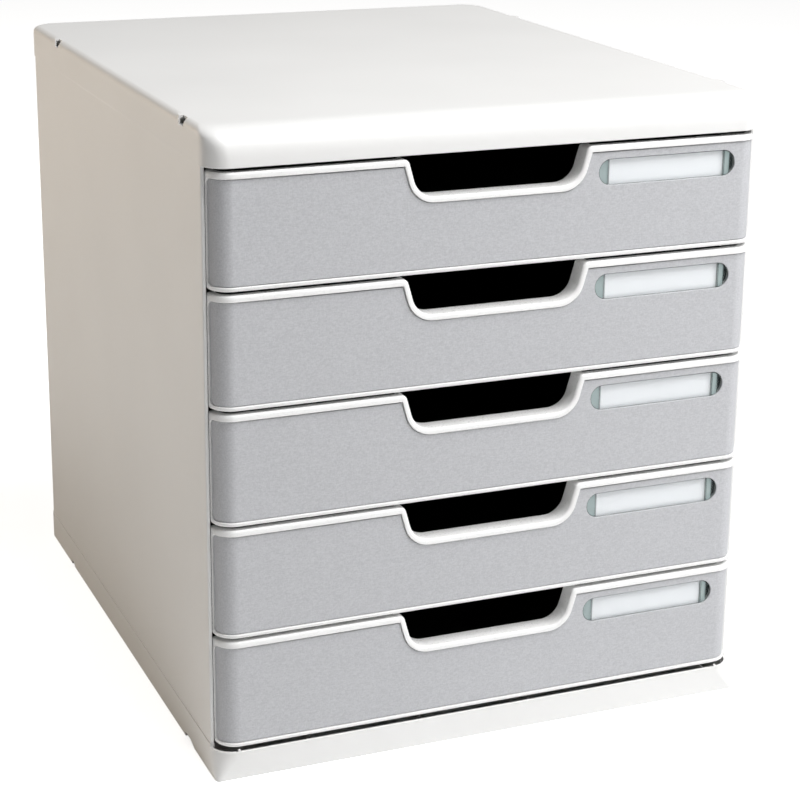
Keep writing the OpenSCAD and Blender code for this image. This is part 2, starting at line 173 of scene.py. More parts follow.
# %% What a pattern drives
def colour_between(tree, share, first, second):
    """A colour between two, by a share from 0 to 1."""
    mix = add_node(tree, "ShaderNodeMix", data_type="RGBA")
    tree.links.new(share, mix.inputs["Factor"])
    mix.inputs[6].default_value = (*first, 1)
    mix.inputs[7].default_value = (*second, 1)
    return mix.outputs[2]


def raise_surface(tree, shader, height, strength, depth):
    """Bumps the surface by a pattern."""
    bump = add_node(tree, "ShaderNodeBump", Strength=strength, Distance=depth)
    tree.links.new(height, bump.inputs["Height"])
    tree.links.new(bump.outputs["Normal"], shader.inputs["Normal"])


# %% [markdown]
# The case, the rims and the trays are moulded plastic, which isn't one flat colour. Its
# gloss comes from a low-contrast grain in the mould, and its colour drifts very slightly over
# the length of a part. One noise could do both, but the two differ a hundred times in size,
# so a fine noise gives the grain to the roughness and the bump, and a broad one the drift.

# %% Moulded plastic
NOISE_LOW, NOISE_HIGH = 0.3, 0.7
DRIFT_SCALE = 9
GLOSS_RANGE = 0.05


def moulded_plastic(name, colour, drift_colour, roughness, grain_size, grain_depth):
    """Plastic with a moulded grain and a slow drift of colour."""
    material, tree, shader = new_material(name, colour, roughness)
    metres = object_coordinates(tree)
    broad = noise(tree, metres, DRIFT_SCALE, 2, 0.5)
    grain = noise(tree, metres, 1 / grain_size, 3, 0.6)
    drift = spread(tree, broad, NOISE_LOW, NOISE_HIGH, 0, 1)
    tree.links.new(colour_between(tree, drift, colour, drift_colour), shader.inputs["Base Color"])
    gloss = spread(tree, grain, NOISE_LOW, NOISE_HIGH, roughness - GLOSS_RANGE, roughness + GLOSS_RANGE)
    tree.links.new(gloss, shader.inputs["Roughness"])
    raise_surface(tree, shader, grain, 0.35, grain_depth)
    return material


case_white = moulded_plastic("case_white", (0.8, 0.798, 0.79), (0.77, 0.768, 0.76),
                             roughness=0.42, grain_size=0.9 * MM, grain_depth=0.03 * MM)
rim_white = moulded_plastic("rim_white", (0.86, 0.86, 0.855), (0.84, 0.84, 0.835),
                            roughness=0.3, grain_size=1.2 * MM, grain_depth=0.015 * MM)
tray_charcoal = moulded_plastic("tray_charcoal", (0.016, 0.016, 0.018), (0.022, 0.022, 0.024),
                                roughness=0.5, grain_size=0.8 * MM, grain_depth=0.04 * MM)
print("made", case_white.name, rim_white.name, tray_charcoal.name)

# %% [markdown]
# The grey panels look like fine linen: short pale threads that lie across and upright, none
# of them longer than a few millimetres. Woven lines would look too regular. A noise that is
# stretched one way gives the threads across, and the same noise stretched the other way, but
# less, gives the upright ones.

# %% Panel plastic
THREAD_WIDTH = 0.6 * MM
THREAD_SCALES = ((0.3, 1, 1), (1, 1, 0.6))
WEAVE_LOW, WEAVE_HIGH = 0.75, 1.25


def linen_plastic(name, colour, dark_colour, depth):
    """Grey plastic with a fine linen grain moulded in."""
    material, tree, shader = new_material(name, colour, 0.45)
    threads = [noise(tree, object_coordinates(tree, scale), 1 / THREAD_WIDTH, 2, 0.6)
               for scale in THREAD_SCALES]
    weave = worked_out(tree, "ADD", *threads)
    share = spread(tree, weave, WEAVE_LOW, WEAVE_HIGH, 0, 1)
    tree.links.new(colour_between(tree, share, dark_colour, colour), shader.inputs["Base Color"])
    tree.links.new(spread(tree, weave, WEAVE_LOW, WEAVE_HIGH, 0.4, 0.52), shader.inputs["Roughness"])
    raise_surface(tree, shader, weave, 0.5, depth)
    return material


panel_grey = linen_plastic("panel_grey", (0.53, 0.535, 0.555), (0.435, 0.44, 0.46), depth=0.02 * MM)
print("made", panel_grey.name)

# %% [markdown]
# The label windows are clear plastic with a green cast that shows where the card doesn't
# back it. A shader that lets most light straight through keeps the card bright, which a
# bending glass shader wouldn't, because lamps don't shine through glass. The ends beyond the
# card are denser, as the thicker moulding is there, but for the last bit on the right, where
# the card goes in. Thin dark lines are painted shade, in a darker tint with more opacity: at
# the ends of the card, where the slot begins, and all round the plate, where the mesh marks
# it with the attribute "edge". They stand for the shadow of the panel's edge on the window
# and for the darkness of clear plastic seen edge on.

# %% Clear plastic
card_low, card_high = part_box("drawer_1_label")
WINDOW_STEP = 1.4 * MM
CARD_SLOT = 2.8 * MM
SLOT_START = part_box("drawer_1_window")[1].x - WINDOW_STEP - CARD_SLOT
BLUR = 0.2 * MM
SHADE_LINE_BLUR = 0.15 * MM
# Painted shade: thin dark lines at the card's two ends and where the slot begins, each as where it lies
# and half its width.
SHADE_LINES = ((card_low.x - 0.3 * MM, 0.35 * MM), (card_high.x + 0.2 * MM, 0.15 * MM), (SLOT_START, 0.15 * MM))


def larger(tree, first, *others):
    """The largest of some values."""
    for other in others:
        first = worked_out(tree, "MAXIMUM", first, other)
    return first


def shade_line_at(tree, along, at, half):
    """1 on an upright line there, half wide to each side, and 0 beside it."""
    distance = worked_out(tree, "ABSOLUTE", worked_out(tree, "SUBTRACT", along, at))
    return spread(tree, distance, half, half + SHADE_LINE_BLUR, 1, 0)


def clear_plastic_and_shade(name, tint, shade_tint, over_card, at_ends, at_slot, at_shade_lines):
    """Clear plastic with its opacity over the card, at the ends and at the slot, and painted shade in a
    darker tint at its edges and lines.
    """
    material, tree, shader = new_material(name, tint, 0.08, IOR=1.5)
    place = add_node(tree, "ShaderNodeSeparateXYZ")
    tree.links.new(object_coordinates(tree), place.inputs["Vector"])
    along = place.outputs["X"]
    left = spread(tree, along, card_low.x, card_low.x - BLUR, over_card, at_ends)
    right = spread(tree, along, card_high.x, card_high.x + BLUR, over_card, at_ends)
    slot = spread(tree, along, SLOT_START, SLOT_START + BLUR, 0, at_ends - at_slot)
    # Painted shade: the plate's edges, marked "edge" in the mesh, and the lines get the darker tint and
    # more opacity.
    edge = add_node(tree, "ShaderNodeAttribute", attribute_name="edge")
    lines = larger(tree, edge.outputs["Fac"], *[shade_line_at(tree, along, at, half) for at, half in SHADE_LINES])
    opacity = larger(tree, left, worked_out(tree, "SUBTRACT", right, slot),
                     spread(tree, lines, 0, 1, 0, at_shade_lines))
    tree.links.new(opacity, shader.inputs["Alpha"])
    tree.links.new(colour_between(tree, lines, tint, shade_tint), shader.inputs["Base Color"])
    return material


# The second, darker tint is painted shade, at the plate's edges and the card's ends.
window_clear_and_shade = clear_plastic_and_shade("window_clear_and_shade", (0.42, 0.52, 0.52), (0.05, 0.08, 0.08),
                             over_card=0.03, at_ends=0.5, at_slot=0.04, at_shade_lines=0.65)
print("made", window_clear_and_shade.name, "which is open from", round(SLOT_START / MM, 1), "mm on")

# %% [markdown]
# The cards are white paper. Paper has no gloss to show its surface, so a faint noise stands
# for its fibres: a little darker here and there, and hardly raised.

# %% Paper card
FIBRE_WIDTH = 2 * MM


def paper_card(name, colour):
    """White card with faint fibres."""
    material, tree, shader = new_material(name, colour, 0.8)
    fibre = noise(tree, object_coordinates(tree, (1, 1, 3)), 1 / FIBRE_WIDTH, 4, 0.7)
    share = spread(tree, fibre, NOISE_LOW, NOISE_HIGH, 0, 1)
    darker = tuple(0.97 * c for c in colour)
    tree.links.new(colour_between(tree, share, colour, darker), shader.inputs["Base Color"])
    raise_surface(tree, shader, fibre, 0.2, 0.02 * MM)
    return material


card_white = paper_card("card_white", (0.86, 0.88, 0.905))
print("made", card_white.name)

# %% [markdown]
# ## Turning a bmesh into a piece
#
# Every new piece ends the same way: its normals are made consistent, its faces shaded smooth
# with the sharp edges kept, and it rides on its body and stands for its CAD node. A modifier
# for weighted normals keeps the large faces flat beside their small radii.


# %% Finish a piece
def make_piece(name, bm, body, node, material, smooth_angle=35):
    """Makes an object of the bmesh, which rides on body and replaces the CAD node."""
    bmesh.ops.recalc_face_normals(bm, faces=bm.faces)
    mesh = bpy.data.meshes.new(name)
    bm.to_mesh(mesh)
    bm.free()
    mesh.materials.append(material)
    piece = bpy.data.objects.new(name, mesh)
    bpy.context.scene.collection.objects.link(piece)
    mesh.shade_smooth()
    mesh.set_sharp_from_angle(angle=math.radians(smooth_angle))
    weighted = piece.modifiers.new("even_shading", "WEIGHTED_NORMAL")
    weighted.keep_sharp = True
    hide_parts(node)
    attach(piece, body)
    print("made", name, "with", len(mesh.polygons), "faces")
    return piece


# %% [markdown]
# ## The case
#
# Walls, back and trays are right as the CAD makes them, but their edges are knife sharp. A
# copy of each is merged, its flat triangles are dissolved back into whole faces, and its
# sharp edges are bevelled. The long front edges of the walls, which show beside the drawers,
# are rounder than the edges that butt against the cap and base.


# %% Bevelled copy of a node
def round_edges(bm, edges, radius, segments=2):
    """Bevels those edges of the bmesh."""
    bmesh.ops.bevel(bm, geom=edges, offset=radius, offset_type="OFFSET", affect="EDGES",
                    segments=segments, profile=0.5, clamp_overlap=True, material=-1)


def bevelled_copy(node, radius, front_radius=0, sharp_angle=28):
    """A bmesh with the node's shape, with a small radius on its sharp edges.

    Upright edges in its front plane get front_radius instead, if that isn't 0."""
    bm = bmesh.new()
    bm.from_mesh(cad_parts[node].data)
    bmesh.ops.remove_doubles(bm, verts=bm.verts, dist=0.01 * MM)
    bmesh.ops.dissolve_limit(bm, angle_limit=math.radians(0.6), use_dissolve_boundaries=False,
                             verts=bm.verts, edges=bm.edges, delimit=set())
    front = min(v.co.y for v in bm.verts) + 0.01 * MM
    sharp = [e for e in bm.edges if len(e.link_faces) == 2
             and e.calc_face_angle() > math.radians(sharp_angle)]

    def front_edges(edges):
        return [e for e in edges if front_radius and len(e.link_faces) == 2
                and max(v.co.y for v in e.verts) < front
                and e.calc_face_angle() > math.radians(60)
                and abs(e.verts[0].co.z - e.verts[1].co.z) > 1 * MM]

    kept = set(front_edges(sharp))
    round_edges(bm, [e for e in sharp if e not in kept], radius)
    round_edges(bm, front_edges(bm.edges), front_radius, 4)
    return bm


# %% Walls and back
WALL_EDGE_R = 0.15 * MM
WALL_FRONT_R = 0.6 * MM
for node in ("left_side_panel", "right_side_panel", "back_panel"):
    bm = bevelled_copy(node, WALL_EDGE_R, WALL_FRONT_R if "side" in node else 0)
    make_piece(node + "_made", bm, "case", node, case_white)

# %% [markdown]
# ## Shapes from loops
#
# An outline is a list of 2-D points, and its round stretches come from one function for an
# arc. It stands upright behind the front plane or lies level at some height. A rounded edge
# is a few copies of an outline, each drawn in and moved down a little further.


# %% Outlines
def arc_points(x, y, radius, start, end, count):
    """Points on an arc, in degrees, both ends included."""
    angles = [math.radians(start + (end - start) * i / count) for i in range(count + 1)]
    return [(x + radius * math.cos(a), y + radius * math.sin(a)) for a in angles]


def upright(outline, depth):
    """The outline stands in the XZ plane at that depth."""
    return [(x, depth, z) for x, z in outline]


def level(outline, z):
    """The outline lies in the XY plane at that height."""
    return [(x, y, z) for x, y in outline]


def quarter_turn(radius, steps=5):
    """Steps round a quarter circle, as (distance from the edge, depth below the face)."""
    angles = [math.pi / 2 * i / steps for i in range(steps + 1)]
    return [(radius * (1 - math.cos(a)), radius * (1 - math.sin(a))) for a in angles]


# %% [markdown]
# Most of the shells here are lofts: a closed loop is extruded and its new points are moved to
# the next section, over and over. Bridging separate loops would do it too, but not between
# two loops that lie in one plane. Here every section has the same number of points, so each
# point keeps its partner even there.


# %% Loft and fill
def loft(bm, sections, closed=False):
    """Extrudes a loop through the sections, and returns the first and last loops' edges."""
    verts = [bm.verts.new(p) for p in sections[0]]
    edges = [bm.edges.new(pair) for pair in zip(verts, verts[1:] + verts[:1])]
    first_verts, first_edges = verts, edges
    for points in sections[1:] + sections[:closed]:
        made = bmesh.ops.extrude_edge_only(bm, edges=edges)["geom"]
        fresh = {v for v in made if isinstance(v, bmesh.types.BMVert)}
        verts = [next(e.other_vert(v) for e in v.link_edges if e.other_vert(v) in fresh) for v in verts]
        edges = [e for e in made if isinstance(e, bmesh.types.BMEdge) and set(e.verts) <= fresh]
        for vert, point in zip(verts, points):
            vert.co = point
    if closed:
        bmesh.ops.remove_doubles(bm, verts=first_verts + verts, dist=1e-7)
    return first_edges, edges


def fill(bm, *loops):
    """Closes the area between an outer loop and any holes in it."""
    bmesh.ops.triangle_fill(bm, use_beauty=True, edges=[e for loop in loops for e in loop])


# %% [markdown]
# ## The cap
#
# The cap has a full curved nose that runs out at the sides in rounded corners. The outline
# of the cap at each height gives that: as the nose curves back, the side edges draw in and
# the corner radius gets smaller. The same outlines, drawn in by the wall, make the inside.

# %% Sizes of the cap
case_low, case_high = cad_box
CASE_X, CASE_FRONT, CASE_BACK = case_high[0], case_low[1], case_high[1]
CASE_TOP = case_high[2]
CAP_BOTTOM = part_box("top_cap")[0].z
SKIRT_T = 2.3 * MM
TOP_T = 2.6 * MM
FRONT_R = 12 * MM
BACK_R = 11 * MM
NOSE_DEPTH = 20 * MM
NOSE_HEIGHT = 16 * MM
NOSE_FULLNESS = 2.8
NOSE_STEPS = 20
CAP_EDGE_R = 4 * MM
CAP_BACK_R = 3 * MM
EDGE_RADIUS = 0.4 * MM
print("cap from", round(CAP_BOTTOM / MM, 1), "to", round(CASE_TOP / MM, 1), "mm high")


# %% Outlines of the cap
def case_outline(half_width, front, back, front_r, back_r):
    """Plan of the case: a rectangle with rounded corners."""
    right = arc_points(half_width - front_r, front + front_r, front_r, -90, 0, 12)
    right += arc_points(half_width - back_r, back - back_r, back_r, 0, 90, 10)
    return right + [(-x, y) for x, y in reversed(right)]


def drawn_in(radius, height_left):
    """How far a rounded edge has drawn in, at this height below its top."""
    up = max(0, 1 - height_left / radius)
    return radius * (1 - math.sqrt(1 - up * up))


def cap_section(rise, wall, top, edge):
    """The cap's outline where the nose has risen by this share, drawn in by wall and edge."""
    z = CASE_TOP - NOSE_HEIGHT + rise * (NOSE_HEIGHT - top)
    left = CASE_TOP - top - z
    back_along = (1 - rise ** NOSE_FULLNESS) ** (1 / NOSE_FULLNESS)
    nose = CASE_FRONT + NOSE_DEPTH - (NOSE_DEPTH - wall) * back_along
    outline = case_outline(CASE_X - wall - edge - drawn_in(CAP_EDGE_R - top / 2, left), nose + edge,
                           CASE_BACK - wall - edge - drawn_in(CAP_BACK_R, left),
                           (FRONT_R - wall) * (1 - 0.5 * rise ** 2), BACK_R - wall)
    return level(outline, z)


# %% Shell of the cap
def cap_shell():
    """Outer and inner surface of the cap."""
    bm = bmesh.new()
    turns = [math.pi / 2 * i / NOSE_STEPS for i in range(NOSE_STEPS + 1)]
    rises = [math.sin(turn) ** (2 / NOSE_FULLNESS) for turn in turns]
    foot = [[(x, y, CAP_BOTTOM + depth) for x, y, z in cap_section(0, 0, 0, inset)]
            for inset, depth in reversed(quarter_turn(EDGE_RADIUS, 3))]
    outer = foot + [cap_section(rise, 0, 0, 0) for rise in rises]
    inner = [cap_section(rise, SKIRT_T, TOP_T, 0) for rise in rises]
    inner_foot = [(x, y, CAP_BOTTOM) for x, y, z in inner[0]]
    inside, outside = loft(bm, inner[::-1] + [inner_foot] + outer)
    fill(bm, inside)
    fill(bm, outside)
    return bm


# %% [markdown]
# Four small slots in the rounded side edges hold a second module that is stacked on top. Each
# is a notch that is open to the side, and a raised collar beside and behind it squares off
# the edge. A loft can't make a hole that crosses a curved edge, so a boolean cuts it, and its
# result is taken at once, so that the finished piece is a plain mesh. The notches look black
# in the photo. A pocket behind each one, under the lip, lets the light run on into the hollow
# of the cap instead of coming back from a wall.

# %% Collars
SLOT_YS = [-137 * MM, 107 * MM]
SLOT_LENGTH, SLOT_WIDTH, SLOT_DEPTH = 7 * MM, 2.4 * MM, 4.2 * MM
SLOT_LIP, POCKET_SKIN, POCKET_LENGTH = 1.2 * MM, 0.8 * MM, 3.5 * MM
COLLAR_LENGTH, COLLAR_WIDTH, COLLAR_DEPTH = 13 * MM, 7.2 * MM, 4 * MM
COLLAR_R = 0.6 * MM
HAIR = 0.02 * MM


def stadium(x, y, length, height, count=12):
    """Outline with round ends, centred on a point."""
    radius, half = height / 2, (length - height) / 2
    right = arc_points(x + half, y, radius, -90, 90, count)
    return right + arc_points(x - half, y, radius, 90, 270, count)


def add_collar(bm, side, y):
    """A block that squares off the rounded edge beside and behind a slot.

    It lies a hair inside the cap's flat faces, so that only the part over the edge shows."""
    middle = side * (CASE_X - COLLAR_WIDTH / 2 - HAIR)
    sections = []
    for inset, depth in [(0, COLLAR_DEPTH)] + quarter_turn(COLLAR_R, 4):
        outline = stadium(y + (COLLAR_LENGTH - SLOT_LENGTH) / 2, middle,
                          COLLAR_LENGTH - 2 * inset, COLLAR_WIDTH - 2 * inset)
        sections.append(level([(a, b) for b, a in outline], CASE_TOP - HAIR - depth))
    for end in loft(bm, sections):
        fill(bm, end)


# %% Cut holes
def extrude_face(bm, points, offset):
    """Extrudes a flat face through the 3-D points by the vector offset."""
    face = bm.faces.new([bm.verts.new(p) for p in points])
    made = bmesh.ops.extrude_face_region(bm, geom=[face])
    verts = [v for v in made["geom"] if isinstance(v, bmesh.types.BMVert)]
    bmesh.ops.translate(bm, vec=offset, verts=verts)


def carve(bm, cutters):
    """The bmesh with the volumes of the cutters taken away."""
    objects = []
    for source in (bm, cutters):
        bmesh.ops.recalc_face_normals(source, faces=source.faces)
        mesh = bpy.data.meshes.new("carving")
        source.to_mesh(mesh)
        source.free()
        carving = bpy.data.objects.new("carving", mesh)
        bpy.context.scene.collection.objects.link(carving)
        objects.append(carving)
    body, tool = objects
    cut = body.modifiers.new("cut", "BOOLEAN")
    cut.operation = "DIFFERENCE"
    cut.solver = "EXACT"
    cut.use_self = True
    cut.object = tool
    seen = body.evaluated_get(bpy.context.evaluated_depsgraph_get())
    result = bmesh.new()
    result.from_mesh(seen.to_mesh())
    seen.to_mesh_clear()
    for carving in objects:
        bpy.data.meshes.remove(carving.data)
    return result


# %% Slots
OVER = -1 * MM


def slot_cutters():
    """The volumes of the four slots, each a notch open to the side and a pocket behind it.

    A profile holds pairs of how far inward and how far down a corner lies. OVER lies outside
    the cap, so that a cutter never ends flush with what it cuts."""
    bm = bmesh.new()
    notch = [(SLOT_WIDTH, SLOT_DEPTH), (OVER, SLOT_DEPTH), (OVER, OVER), (SLOT_WIDTH, OVER)]
    pocket = [(COLLAR_WIDTH, SLOT_DEPTH), (POCKET_SKIN, SLOT_DEPTH),
              (POCKET_SKIN, SLOT_LIP), (COLLAR_WIDTH, SLOT_LIP)]
    for side in (-1, 1):
        for y in SLOT_YS:
            for profile, length in ((notch, SLOT_LENGTH), (pocket, SLOT_LENGTH + POCKET_LENGTH)):
                points = [(side * (CASE_X - inward), y - SLOT_LENGTH / 2, CASE_TOP - down)
                          for inward, down in profile]
                extrude_face(bm, points, (0, length, 0))
    return bm


# %% [markdown]
# Crossing ribs stiffen the thin top from below. They are plain blocks, sunk a little into the
# top, and the base gets the same ones later.

# %% Ribs and the whole cap
RIB_T = 1.6 * MM
RIB_XS = [x * MM for x in (-90, -30, 30, 90)]
RIB_YS = [y * MM for y in (-120, -60, 0, 60, 120)]
CAP_RIB_DEPTH, CAP_RIB_SINK, CAP_RIB_INSET = 8 * MM, 0.5 * MM, 8 * MM


def add_block(bm, low, high, radius=0):
    """A block between two corners, with a small radius on every edge if that isn't 0."""
    middle, size = (low + high) / 2, high - low
    place = Matrix.Translation(middle) @ Matrix.Diagonal((*size, 1))
    made = bmesh.ops.create_cube(bm, size=1, matrix=place)
    if radius:
        edges = list({e for v in made["verts"] for e in v.link_edges})
        bmesh.ops.bevel(bm, geom=edges, offset=radius, offset_type="OFFSET", affect="EDGES",
                        segments=2, profile=0.5, material=-1)


def add_ribs(bm, low, high, inset):
    """Crossing ribs between two heights, inside the skirt."""
    half = RIB_T / 2
    side, front, back = CASE_X - inset, CASE_FRONT + inset, CASE_BACK - inset
    for x in RIB_XS:
        add_block(bm, Vector((x - half, front, low)), Vector((x + half, back, high)))
    for y in RIB_YS:
        add_block(bm, Vector((-side, y - half, low)), Vector((side, y + half, high)))


def top_cap():
    """The whole cap."""
    bm = cap_shell()
    for side in (-1, 1):
        for y in SLOT_YS:
            add_collar(bm, side, y)
    bm = carve(bm, slot_cutters())
    ceiling = CASE_TOP - TOP_T
    add_ribs(bm, ceiling - CAP_RIB_DEPTH, ceiling + CAP_RIB_SINK, CAP_RIB_INSET)
    return bm


make_piece("top_cap_made", top_cap(), "case", "top_cap", case_white)

# %% [markdown]
# ## The base
#
# The base is a skirt with a deck inside it. Its front corners are round where they meet the
# drawer and nearly square on the desk, so the radius of the outline changes with the height.
# In front of the walls the skirt is lower and ends in a thin lip. One loft can't change its
# height on the way round, so two whole rings are lofted, and a plane cuts off the back of
# the low one and the front of the high one.

# %% Sizes of the base
LIP_Z = 14.3 * MM
LIP_T = 1.2 * MM
FRONT_RIB_Z = 8 * MM
SIDE_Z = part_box("base")[1].z
FOOT_R = 2.5 * MM
ROUND_FROM, ROUND_OVER = 0.6 * MM, 11 * MM
WALL_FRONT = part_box("left_side_panel")[0].y
SEAM_RADIUS = 0.25 * MM
SKIRT_STEPS = 12
print("base up to", round(SIDE_Z / MM, 1), "mm at the sides and", round(LIP_Z / MM, 1), "mm in front")


# %% Skirt of the base
def base_outline(z, inset):
    """The base's outline at a height, drawn in by inset."""
    share = min(max((z - ROUND_FROM) / ROUND_OVER, 0), 1)
    radius = FOOT_R + (FRONT_R - FOOT_R) * share
    outline = case_outline(CASE_X - inset, CASE_FRONT + inset, CASE_BACK - inset,
                           radius - min(inset, radius / 2), BACK_R - inset)
    return level(outline, z)


def inner_plan(z, thickness):
    """The inner outline of the skirt, where it is that thick."""
    plan = case_outline(CASE_X - thickness, CASE_FRONT + thickness, CASE_BACK - thickness,
                        FRONT_R - thickness, BACK_R - thickness)
    return level(plan, z)


def skirt_ring(high, inner):
    """The closed ring of the skirt up to a height, with its outer edges rounded.

    Its inner side goes down through the sections in inner."""
    bm = bmesh.new()
    heights = [high * i / SKIRT_STEPS for i in range(1, SKIRT_STEPS)]
    outer = [base_outline(depth, inset) for inset, depth in reversed(quarter_turn(EDGE_RADIUS, 3))]
    outer += [base_outline(z, 0) for z in heights]
    outer += [base_outline(high - depth, inset) for inset, depth in quarter_turn(SEAM_RADIUS, 3)]
    loft(bm, outer + inner, closed=True)
    return bm


def cut_away(bm, at, normal):
    """Cuts off what lies on the normal's side of the plane, and closes the cut."""
    cut = bmesh.ops.bisect_plane(bm, geom=bm.verts[:] + bm.edges[:] + bm.faces[:], dist=1e-7,
                                 plane_co=at, plane_no=normal, clear_outer=True)
    edges = [e for e in cut["geom_cut"] if isinstance(e, bmesh.types.BMEdge)]
    bmesh.ops.triangle_fill(bm, use_beauty=True, edges=edges)


# %% [markdown]
# The lower side edges have notches that run out towards the front, close to where the cap
# has its slots. They are cut the same way.

# %% Notches of the base
NOTCHES = ((-122.5 * MM, 17 * MM), (117 * MM, 8 * MM))
NOTCH_HEIGHT = 2.4 * MM


def notch_cutters():
    """The volumes of the notches in the lower edge, which run out towards the front."""
    bm = bmesh.new()
    for side in (-1, 1):
        for back, length in NOTCHES:
            profile = [(back, OVER), (back, NOTCH_HEIGHT), (back - length / 2, NOTCH_HEIGHT),
                       (back - length, 0), (back - length, OVER)]
            start = side * (CASE_X - SKIRT_T - 1 * MM)
            extrude_face(bm, [(start, y, z) for y, z in profile], (side * (SKIRT_T + 2 * MM), 0, 0))
    return bm


# %% [markdown]
# The deck lies inside the skirt and is open behind the front, which is why the gap under the
# lowest drawer looks so dark.

# %% Deck
DECK_Z = 13.5 * MM
DECK_T = 2.2 * MM
DECK_INSET = 2 * MM
DECK_OPENING = 22 * MM


def deck():
    """The deck, cut off behind the front skirt."""
    bm = bmesh.new()
    plan = case_outline(CASE_X - DECK_INSET, CASE_FRONT + DECK_INSET, CASE_BACK - DECK_INSET,
                        FRONT_R, BACK_R)
    for end in loft(bm, [level(plan, DECK_Z - DECK_T), level(plan, DECK_Z)]):
        fill(bm, end)
    cut_away(bm, (0, CASE_FRONT + SKIRT_T + DECK_OPENING, 0), (0, -1, 0))
    return bm


# %% [markdown]
# The rings, the deck and the ribs go into one mesh as separate shells. A boolean could merge
# them, but they only meet where nothing shows. Two tabs stand up from the lip in the dark gap
# under the lowest drawer.

# %% Tabs and the whole base
BASE_RIB_Z, BASE_RIB_INSET = NOTCH_HEIGHT + 2 * MM, 2 * MM
TAB_X, TAB_SINK, TAB_EDGE = 132 * MM, 1 * MM, 0.15 * MM
TAB_SIZE = Vector((1.2 * MM, LIP_T - 0.2 * MM, 2.2 * MM))


def join(bm, other):
    """Adds another bmesh to this one."""
    mesh = bpy.data.meshes.new("joining")
    other.to_mesh(mesh)
    other.free()
    bm.from_mesh(mesh)
    bpy.data.meshes.remove(mesh)


def base():
    """The whole base."""
    high = skirt_ring(SIDE_Z, [inner_plan(SIDE_Z, SKIRT_T), inner_plan(0, SKIRT_T)])
    cut_away(high, (0, WALL_FRONT, 0), (0, -1, 0))
    low = skirt_ring(LIP_Z, [inner_plan(LIP_Z, LIP_T), inner_plan(FRONT_RIB_Z, LIP_T),
                             inner_plan(FRONT_RIB_Z, SKIRT_T), inner_plan(0, SKIRT_T)])
    cut_away(low, (0, WALL_FRONT, 0), (0, 1, 0))
    bm = carve(high, notch_cutters())
    join(bm, low)
    join(bm, deck())
    add_ribs(bm, BASE_RIB_Z, FRONT_RIB_Z, BASE_RIB_INSET)
    for side in (-1, 1):
        corner = Vector((side * TAB_X - TAB_SIZE.x / 2, CASE_FRONT + 0.1 * MM, LIP_Z - TAB_SINK))
        add_block(bm, corner, corner + TAB_SIZE, TAB_EDGE)
    return bm


make_piece("base_made", base(), "case", "base", case_white)

# %% [markdown]
# ## The drawer fronts
#
# A front is one strip that wraps round two corners. It is easiest to model it flat, as if
# it were unrolled, with x along the strip and y as the depth below its face, and to bend it
# afterwards. The sizes below are those of the real front.

# %% Sizes of a front
front_low, front_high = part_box("drawer_1_front")
panel_low, panel_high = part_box("drawer_1_panel")
FACE_Y = front_low.y
HALF_WIDTH = front_high.x
FRONT_HEIGHT = front_high.z - front_low.z
CORNER_R = 10.5 * MM
FRAME_DEPTH = 12 * MM
FRAME_END_R = 0.3 * MM
RIM_TOP = 3.1 * MM
RIM_BOTTOM = 2.1 * MM
PANEL_INSET = 0.8 * MM
PANEL_T = 1.2 * MM
PANEL_REACH = 9.8 * MM
PANEL_CORNER_R = 3.5 * MM
RECESS_DEPTH = PANEL_INSET + PANEL_T + 0.05 * MM
WEB_BACK = RECESS_DEPTH + 2.25 * MM
FLAT_HALF = HALF_WIDTH - CORNER_R
ARC_LENGTH = CORNER_R * math.pi / 2
print("front", round(2 * HALF_WIDTH / MM, 1), "by", round(FRONT_HEIGHT / MM, 1), "mm")


def unrolled(reach):
    """How far along the unrolled strip a point lies that is this far behind the front plane."""
    if reach < CORNER_R:
        return FLAT_HALF + CORNER_R * math.acos(1 - reach / CORNER_R)
    return FLAT_HALF + ARC_LENGTH + reach - CORNER_R


# %% [markdown]
# One function draws the outline of the front and of the recess in it. Growing it inwards by
# different amounts at the top, bottom, sides and cut-out gives the loops that the rim is
# lofted through. Every outline has the same number of points, so neighbouring loops bridge
# cleanly.

# %% Outline of a front
GRIP_RIM = 2.8 * MM
GRIP_HALF = 46.4 * MM
GRIP_DROP = 18.4 * MM
GRIP_SLANT = math.radians(16)
GRIP_R = 11 * MM
GRIP_LEAD_R = 3 * MM
RECESS_LEAD_R = 0.15 * MM
CORNER_STEPS = 6


def front_outline(top, bottom, side, grip, lead_r, end_r):
    """Outline of a front, anticlockwise, drawn in by top, bottom, side and grip."""
    tan, cos = math.tan(GRIP_SLANT), math.cos(GRIP_SLANT)
    slant = math.degrees(GRIP_SLANT)
    low, high = bottom - FRONT_HEIGHT, -top
    end = unrolled(FRAME_DEPTH) - side
    grip_top = GRIP_HALF + grip / cos
    lead_x = grip_top + (high - lead_r) * tan + lead_r / cos
    arc_x = GRIP_HALF - GRIP_DROP * tan + GRIP_R * tan - GRIP_R / cos
    arc_z = GRIP_R - GRIP_DROP
    right = arc_points(end - end_r, low + end_r, end_r, -90, 0, CORNER_STEPS)
    right += arc_points(end - end_r, high - end_r, end_r, 0, 90, CORNER_STEPS)
    right += arc_points(lead_x, high - lead_r, lead_r, 90, 180 - slant, 8)
    right += arc_points(arc_x, arc_z, GRIP_R + grip, -slant, -90, 12)
    return right + [(-x, z) for x, z in reversed(right)]


def evenly_drawn(inset):
    """The front's outer outline, drawn in by the same amount all round."""
    return front_outline(inset, inset, inset, inset, GRIP_LEAD_R - inset, FRAME_END_R)


def recess_outline(grow):
    """The recess's outline, made larger all round by grow."""
    side = unrolled(FRAME_DEPTH) - unrolled(PANEL_REACH)
    return front_outline(RIM_TOP - grow, RIM_BOTTOM - grow, side - grow, GRIP_RIM - grow,
                         RECESS_LEAD_R + grow, PANEL_CORNER_R + grow)


# %% [markdown]
# Bending could be left to a modifier, but this bend is exact: a point's distance along the
# strip becomes an angle round the corner. The strip is first cut across where it bends, so
# that its long faces have points to bend at.


